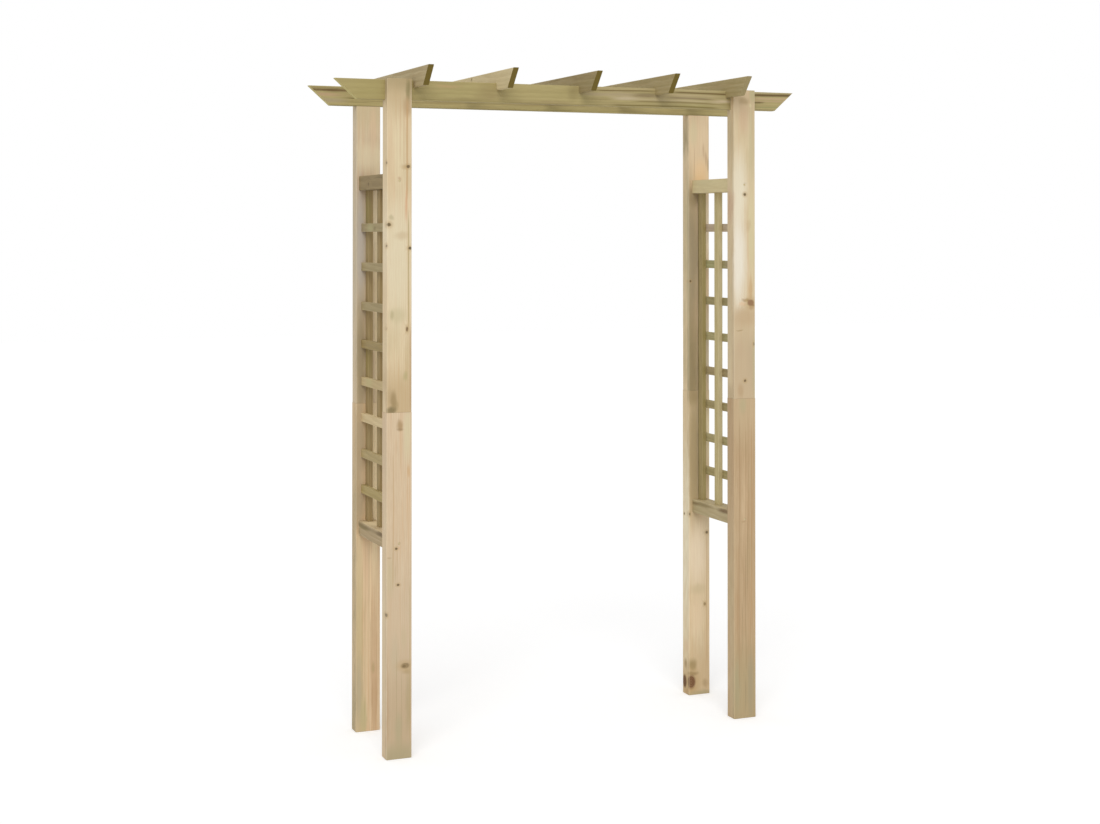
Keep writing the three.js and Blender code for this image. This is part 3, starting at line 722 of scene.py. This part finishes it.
def buildBeams():
    sizes = beamSizes
    size = (sizes["length"], sizes["thickness"], arch["beamHeight"])
    pattern = modelBoard(size, "ZYX", sizes["easing"])
    slant = math.atan2(sizes["mitre"], size[2])
    for side in (-1, 1):
        trimEnd(pattern, (side * size[0] / 2, 0, size[2] / 2), (side * math.cos(slant), 0, -math.sin(slant)))
        cutAway(pattern, screwMouth((side * arch["postX"], -size[1] / 2, 0), (0, -1, 0)))
    for word, rank in ranks:
        name = word + "_beam"
        middle = (0, rank * beamY, beamMiddle)
        placeBoard(pattern, word + "Beam", name, middle, rank,
                   lookOf(middle, size, "ZYX", beamLooks[name]))
    bpy.data.objects.remove(pattern)


# Rafters

rafterSizes = {
    "length": 0.59, "thickness": 0.017, "height": 0.056, "mitre": 0.049, "notch": 0.021, "easing": 0.0015,
    "places": (-0.98, -0.48, 0.034, 0.528, 1.0),  # of the way from the middle to the last seat
}
rafterTones = {
    "light": "B1A075", "dark": "94834F", "streak": "A48B5D", "cast": "9D9060", "paleAndHighlight": "C4B58A",
    "collar": "8C7445", "ring": 0.006, "ringStrength": 0.42, "pith": (0.03, 0.06), "slope": 0.012,
    "castStrength": 0.45, "end": "75621A", "endStrength": 1.0,
}
rafterLooks = {
    "rafter_1": dict(
        rafterTones, seed=21.2, light="BFAF86", dark="9D895F", cast="A99A70",
        stains=sideMarks("rafter1",
            (-0.26, 1.965, 0.04, 0.03, "CBBB92", 0.5), (-0.24, 1.98, 0.004, 0.003, "75623A", 0.7))),
    "rafter_2": dict(
        rafterTones, seed=22.5, light="DDCDA3", dark="C2AF7F", cast="CBBC8C", streak="C9B181", paleAndHighlight="E2D4AE",
        knots=sideMarks("rafter2", (0.06, 1.984, 0.003, 0.003, "5C482A", 0.85))),
    "rafter_3": dict(rafterTones, seed=23.1, light="A4936A", dark="877446"),
    "rafter_4": dict(rafterTones, seed=24.7),
    "rafter_5": dict(rafterTones, seed=25.9, light="B6A578", end="AA996B", endStrength=0.4),
}


def buildRafters():
    sizes = rafterSizes
    size = (sizes["thickness"], sizes["length"], sizes["height"])
    pattern = modelBoard(size, "ZXY", sizes["easing"])
    slant = math.atan2(sizes["mitre"], size[2])
    spare = arch["cutterSpare"]
    notchSize = (size[0] + spare, beamSizes["thickness"] + 2 * arch["seatGap"], sizes["notch"] + spare)
    for rank in (-1, 1):
        trimEnd(pattern, (0, rank * size[1] / 2, size[2] / 2), (0, rank * math.cos(slant), -math.sin(slant)))
        cutAway(pattern, addBlock((0, rank * beamY, (sizes["notch"] - spare - size[2]) / 2), notchSize))
    innerFace = arch["postX"] - postSizes["width"] / 2 + postSizes["shy"]
    reach = innerFace - arch["seatGap"] - size[0] / 2
    z = arch["beamTop"] + arch["seatGap"] - sizes["notch"] + size[2] / 2
    for number, share in enumerate(sizes["places"], 1):
        name = "rafter_%d" % number
        middle = (share * reach, 0, z)
        placeBoard(pattern, "rafter%d" % number, name, middle, 1,
                   lookOf(middle, size, "ZXY", rafterLooks[name]))
    bpy.data.objects.remove(pattern)


# Trellis panels

panelSizes = {
    "railWidth": 0.054, "railHeight": 0.043, "railOutset": 0.0027, "railEasing": 0.002,
    "uprightWidth": 0.028, "uprightThickness": 0.015, "uprightInset": 0.0183,
    "margins": {"left": 0.0003, "right": 0.0048},  # between an outer upright and the post
    "barHeight": 0.0255, "barThickness": 0.013, "slatEasing": 0.001,
    "barPlaces": (0.096, 0.204, 0.313, 0.422, 0.535, 0.65, 0.769, 0.887),  # middles, up the open height
}
railTones = {
    "light": "B5A57D", "dark": "96835A", "streak": "A48E62", "cast": "A79B6E", "paleAndHighlight": "C6B890",
    "ring": 0.006, "pith": (0.02, 0.05), "collar": "8C7445",
}
railLooks = {
    "left_bottom_rail": dict(
        railTones, seed=31.6, light="BCA681", dark="9F8860", cast="B19E76",
        stains=sideMarks("leftRails",
            # painted shade: the dark bands just under the top edge
            (-0.09, 0.632, 0.045, 0.0085, "664F2B", 0.85), (0.08, 0.629, 0.07, 0.0075, "766735", 0.8)),
        # painted shade: the dark line under the top edge; painted highlight: the lit top face, drawn in two
        # pieces
        lines=[(0.6305, 0.005, -0.14, 0.15, 0.5, "7F6B45"), (0.6415, 0.0026, -0.15, -0.03, 0.9, "E6CDA2"),
               (0.6415, 0.0026, -0.02, 0.11, 0.9, "E2CB9E")]),
    "left_top_rail": dict(
        railTones, seed=32.4, light="978259", dark="7E6A42", cast="8C7B4E", paleAndHighlight="A3905F",
        knots=sideMarks("leftRails", (0.035, 1.659, 0.008, 0.006, "665431", 0.75)),
        lines=[(1.676, 0.0018, -0.14, -0.03, 0.6, "6F6036"), (1.6428, 0.0015, -0.1, 0.03, 0.6, "765C36")]),
    "right_bottom_rail": dict(
        railTones, seed=33.3, light="C0B088", dark="A59066", ringStrength=0.3,
        stains=sideMarks("rightRails",
            # painted shade: the dark bands just under the top edge
            (-0.085, 0.631, 0.045, 0.0085, "6E5330", 0.85), (0.07, 0.631, 0.09, 0.007, "837143", 0.75),
            (0.115, 0.627, 0.03, 0.007, "77603A", 0.6)),
        # painted highlight: the lit top face, drawn in two pieces
        lines=[(0.6415, 0.0026, -0.12, -0.035, 0.95, "E8CFA0"),
               (0.6415, 0.0026, 0.015, 0.09, 0.95, "E8CFA0")]),
    "right_top_rail": dict(
        railTones, seed=34.9, light="DCCD9F", dark="CBB987", cast="CFC08F", paleAndHighlight="E2D4AA",
        ringStrength=0.25, streak="CFB98C"),
}
slatTones = {
    "light": "AB9A70", "dark": "8E7B50", "streak": "9C885C", "cast": "A2946A", "paleAndHighlight": "B9A981",
    "ring": 0.005, "pith": (0.015, 0.04),
}
slatLooks = {
    "left_upright_front": dict(light="A18E64"),
    "left_upright_middle": dict(light="A58D5E", dark="867043", paleAndHighlight="B19A67"),
    "left_upright_rear": dict(
        light="A68F62", dark="876F43", paleAndHighlight="B49D70",
        stains=sideMarks("leftUprights",
            (0.118, 1.58, 0.03, 0.06, "8B8046", 0.6), (0.118, 1.13, 0.03, 0.05, "94843F", 0.5))),
    "right_upright_front": dict(light="B3A27A"),
    "right_upright_middle": dict(
        light="CBBC89", dark="B19F6C", cast="BEB17C", streak="BCA774", paleAndHighlight="D6C798",
        stains=frontMarks("middleUpright", (0.566, 1.15, 0.02, 0.7, "DACCA2", 0.8))),
    "right_upright_rear": dict(
        light="B09F6E", dark="8F7E50",
        stains=frontMarks("rearUpright", (0.566, 1.15, 0.02, 0.7, "988851", 0.95)),
        # painted shade: a dark line along the edge next to the post, in the gap between them
        lines=[(0.1255, 0.0026, 0.65, 1.63, 0.7, "665630")]),
}
paleBar = dict(light="DAC497", dark="C0A879", cast="CABC8D", paleAndHighlight="E4D2A9", streak="CAAF80")
barLooks = {
    "left": (
        # painted highlight: a light line along the top edge of the two lowest bars, lit from above
        dict(light="B5A168", dark="98834C", lines=[(0.757, 0.0022, -0.14, 0.14, 0.7, "D3BC8F")]),
        dict(light="B9A574", dark="9C8756", lines=[(0.8645, 0.0022, -0.14, 0.14, 0.7, "DCC49C")]),
        paleBar,
        dict(paleBar, light="C5AF80", dark="B39B6C", cast="BEB07C", paleAndHighlight="D6C496",
             stains=sideMarks("leftBars", (0.05, 1.067, 0.04, 0.02, "BDB07C", 0.7))),
        dict(light="9F8850", dark="826B3B"),
        {},
        {},
        dict(stains=sideMarks("leftBars",
            (0.04, 1.527, 0.036, 0.02, "ACA374", 0.8), (0.115, 1.527, 0.025, 0.02, "98876A", 0.7),
            (-0.005, 1.527, 0.013, 0.006, "7E7044", 0.6)))),
    "right": (
        dict(light="AFA26F", dark="92814F"),
        dict(light="B4A97A", dark="968757"),
        dict(light="AD9F71", dark="907F51"),
        {},
        dict(light="B6AE7F", dark="988B5B"),
        dict(light="A99F72", dark="8D7F51"),
        dict(light="B2AF7F", dark="948D5B", cast="A8A473",
             stains=sideMarks("rightBars", (-0.06, 1.4105, 0.05, 0.03, "A08C6E", 0.9))),
        dict(light="CCB9A2", dark="AA9678", cast="BCAA8E", streak="B09A7C")),
}


def buildPanels():
    sizes = panelSizes
    railX = arch["postX"] + sizes["railOutset"]
    barLength = 2 * arch["postY"] - postSizes["depth"] - 2 * arch["seatGap"]
    for place, length in (("bottom", barLength), ("top", barLength + 2 * postSizes["shy"])):
        size = (sizes["railWidth"], length, sizes["railHeight"])
        pattern = modelBoard(size, "ZXY", sizes["railEasing"])
        for word, side in sides:
            name = "%s_%s_rail" % (word, place)
            middle = (side * railX, 0, postSizes[place + "RailMiddle"])
            placeBoard(pattern, word + place.title() + "Rail", name, middle, 1,
                       lookOf(middle, size, "ZXY", railLooks[name]))
        bpy.data.objects.remove(pattern)

    low = postSizes["bottomRailMiddle"] + sizes["railHeight"] / 2
    high = postSizes["topRailMiddle"] - sizes["railHeight"] / 2
    inner = railX - sizes["railWidth"] / 2 + sizes["uprightInset"]
    size = (sizes["uprightThickness"], sizes["uprightWidth"], high - low - 2 * arch["seatGap"])
    pattern = modelBoard(size, "YXZ", sizes["slatEasing"])
    for word, side in sides:
        reach = barLength / 2 - sizes["margins"][word] - size[1] / 2
        for index, (place, y) in enumerate((("front", -reach), ("middle", 0), ("rear", reach))):
            name = "%s_upright_%s" % (word, place)
            middle = (side * (inner + size[0] / 2), y, (high + low) / 2)
            tones = dict(slatTones, seed=41.0 + side * 7 + index * 1.9, **slatLooks[name])
            placeBoard(pattern, word + "Upright" + place.title(), name, middle, 1,
                       lookOf(middle, size, "YXZ", tones))
    bpy.data.objects.remove(pattern)

    size = (sizes["barThickness"], barLength, sizes["barHeight"])
    pattern = modelBoard(size, "ZXY", sizes["slatEasing"])
    outer = inner + sizes["uprightThickness"] + arch["seatGap"]
    for word, side in sides:
        for index, share in enumerate(sizes["barPlaces"]):
            name = "%s_crossbar_%d" % (word, index + 1)
            middle = (side * (outer + size[0] / 2), 0, low + share * (high - low))
            tones = dict(slatTones, seed=61.0 + side * 9 + index * 2.3, **barLooks[word][index])
            placeBoard(pattern, "%sCrossbar%d" % (word, index + 1), name, middle, 1,
                       lookOf(middle, size, "ZXY", tones))
    bpy.data.objects.remove(pattern)


# Screws and dowels keep their solids

steelFinish = {
    "light": "E0CFA4", "dark": "C4B083",
    "mottleScale": 900.0,  # patches of about 1 mm
    "metallic": 0.7,
    "smoothest": 0.38, "roughest": 0.6,
}


def passivatedSteel():
    # Zinc-plated steel, yellow-passivated: a dull straw colour with a faint mottle
    finish = steelFinish
    material = newMaterial("zinc-plated steel, yellow-passivated")
    tree = material.node_tree
    coordinates = addNode(tree, "TexCoord", {}, {})
    mottle = addNode(tree, "TexNoise", {}, {0: coordinates.outputs[3], 2: finish["mottleScale"], 3: 3.0})
    colour = addNode(tree, "Mix", {"data_type": "RGBA"}, {0: mottle, 6: finish["light"], 7: finish["dark"]})
    roughness = addNode(tree, "MapRange", {}, {0: mottle, 3: finish["smoothest"], 4: finish["roughest"]})
    shader = addNode(tree, "BsdfPrincipled", {},
                     {0: colour.outputs[2], 1: finish["metallic"], 2: roughness})
    addNode(tree, "OutputMaterial", {}, {0: shader})
    return material


dowelTones = {"light": "D8C39A", "dark": "C4A878"}


def dressSolids():
    steel = passivatedSteel()
    for name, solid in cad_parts.items():
        if "screw" in name:
            setMaterial(solid, steel)
        elif "dowel" in name:
            low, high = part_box(name)
            middle = tuple((a + b) / 2 for a, b in zip(low, high))
            size = tuple(b - a for a, b in zip(low, high))
            look = lookOf(middle, size, "XYZ", dict(dowelTones, seed=90.0 + middle[0]))
            setMaterial(solid, pineMaterial(name + " turned birch", look))


# Floor, light and camera

stagePlan = {
    "floorSize": 40,
    "floorHeight": -0.0005,  # just under the posts' ends
    "paperWhite": 0.8,
    "paperGlow": 0.32,  # seen by the camera only, so that the floor fades into the surround
    "skyStrength": 0.66,
    "sunStrength": 1.2,
    "sunPlace": (0, -3, 4),
    "sunFrom": (-0.45, -1.0, 0.9),
    "sunSpread": 40,  # degrees
}


def whiteStage():
    # A white studio floor that fades into a white surround and keeps the arch's shadow
    plan = stagePlan
    clearSelection()
    bpy.ops.mesh.primitive_plane_add(size=plan["floorSize"], location=(0, 0, plan["floorHeight"]))
    floor = bpy.context.object
    floor.name = "studioFloor"
    bpy.ops.object.transform_apply()
    material = newMaterial("white studio paper, matt")
    tree = material.node_tree
    white = plan["paperWhite"]
    path = addNode(tree, "LightPath", {}, {})
    paper = addNode(tree, "BsdfDiffuse", {}, {0: (white, white, white, 1)})
    seen = addNode(tree, "Math", {"operation": "MULTIPLY"}, {0: path, 1: plan["paperGlow"]})
    glow = addNode(tree, "Emission", {}, {0: (1, 1, 1, 1), 1: seen})
    both = addNode(tree, "AddShader", {}, {0: paper, 1: glow})
    addNode(tree, "OutputMaterial", {}, {0: both})
    setMaterial(floor, material)


def setLights():
    plan = stagePlan
    world = bpy.data.worlds.new("studio surround")
    bpy.context.scene.world = world
    world.use_nodes = True
    tree = world.node_tree
    tree.nodes.clear()
    # pure white to the camera, in reflections and through glass, dimmer as a light
    path = addNode(tree, "LightPath", {}, {})
    seen = addNode(tree, "Math", {"operation": "MAXIMUM"}, {0: path, 1: path.outputs[3]})
    seen = addNode(tree, "Math", {"operation": "MAXIMUM"}, {0: seen, 1: path.outputs[6]})
    strength = addNode(tree, "MapRange", {}, {0: seen, 3: plan["skyStrength"], 4: 1.0})
    surround = addNode(tree, "Background", {}, {0: (1, 1, 1, 1), 1: strength})
    addNode(tree, "OutputWorld", {}, {0: surround})
    clearSelection()
    bpy.ops.object.light_add(type="SUN", location=plan["sunPlace"])
    sun = bpy.context.object
    sun.data.energy = plan["sunStrength"]
    sun.data.angle = math.radians(plan["sunSpread"])
    sun.rotation_euler = Vector(plan["sunFrom"]).to_track_quat("Z", "Y").to_euler()


cameraPlan = {
    "place": (-2.1337, -5.0961, 1.5176),
    "turn": 0.393,  # to the right of straight ahead, in radians
    "rise": 0.010,
    "lens": 58.365,
    "sensorWidth": 36,
    "shiftX": 0.00005,
    "shiftY": -0.18046,
    "farEnd": 60,
}


def setCamera():
    plan = cameraPlan
    clearSelection()
    turn = (math.pi / 2 + plan["rise"], 0, -plan["turn"])
    bpy.ops.object.camera_add(location=plan["place"], rotation=turn)
    camera = bpy.context.object
    camera.data.lens = plan["lens"]
    camera.data.sensor_width = plan["sensorWidth"]
    camera.data.sensor_fit = "HORIZONTAL"
    camera.data.shift_x = plan["shiftX"]
    camera.data.shift_y = plan["shiftY"]
    camera.data.clip_end = plan["farEnd"]
    bpy.context.scene.camera = camera


# Making the arch

buildPosts()
buildPanels()
print("posts and trellis panels done")
buildBeams()
buildRafters()
print("beams and rafters done")
dressSolids()
whiteStage()
setLights()
setCamera()
bpy.context.scene.view_settings.view_transform = "Standard"
print("stage, light and camera done")
